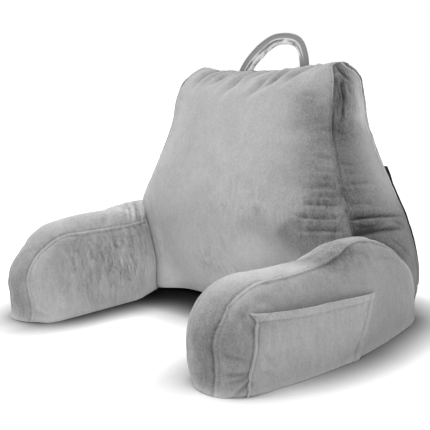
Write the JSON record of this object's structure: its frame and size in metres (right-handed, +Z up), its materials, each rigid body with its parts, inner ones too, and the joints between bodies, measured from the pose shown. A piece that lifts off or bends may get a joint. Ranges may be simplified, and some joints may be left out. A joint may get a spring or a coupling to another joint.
{
  "type": "reading pillow with arms",
  "caption": "Stuffed velour reading pillow: a leaning back cushion with two arms, a patch pocket, a flat rear pocket and a carry handle.",
  "frame": {"origin": "on the floor under the middle of the whole part's outline", "axes": "+Z up, +X across the back towards the arm with the patch pocket, -Y the way the arms reach"},
  "size_m": [0.711, 0.512, 0.5102],
  "materials": {
    "velour": "brushed grey velour with a soft nap",
    "strap": "folded grey cloth strap",
    "black_cloth": "matt black plain cloth"
  },
  "bodies": {
    "root": {"back_cushion": "velour", "arm_right": "velour", "arm_left": "velour", "arm_pocket": "velour", "rear_pocket": "black_cloth", "carry_handle": "strap"}
  },
  "joints": []
}
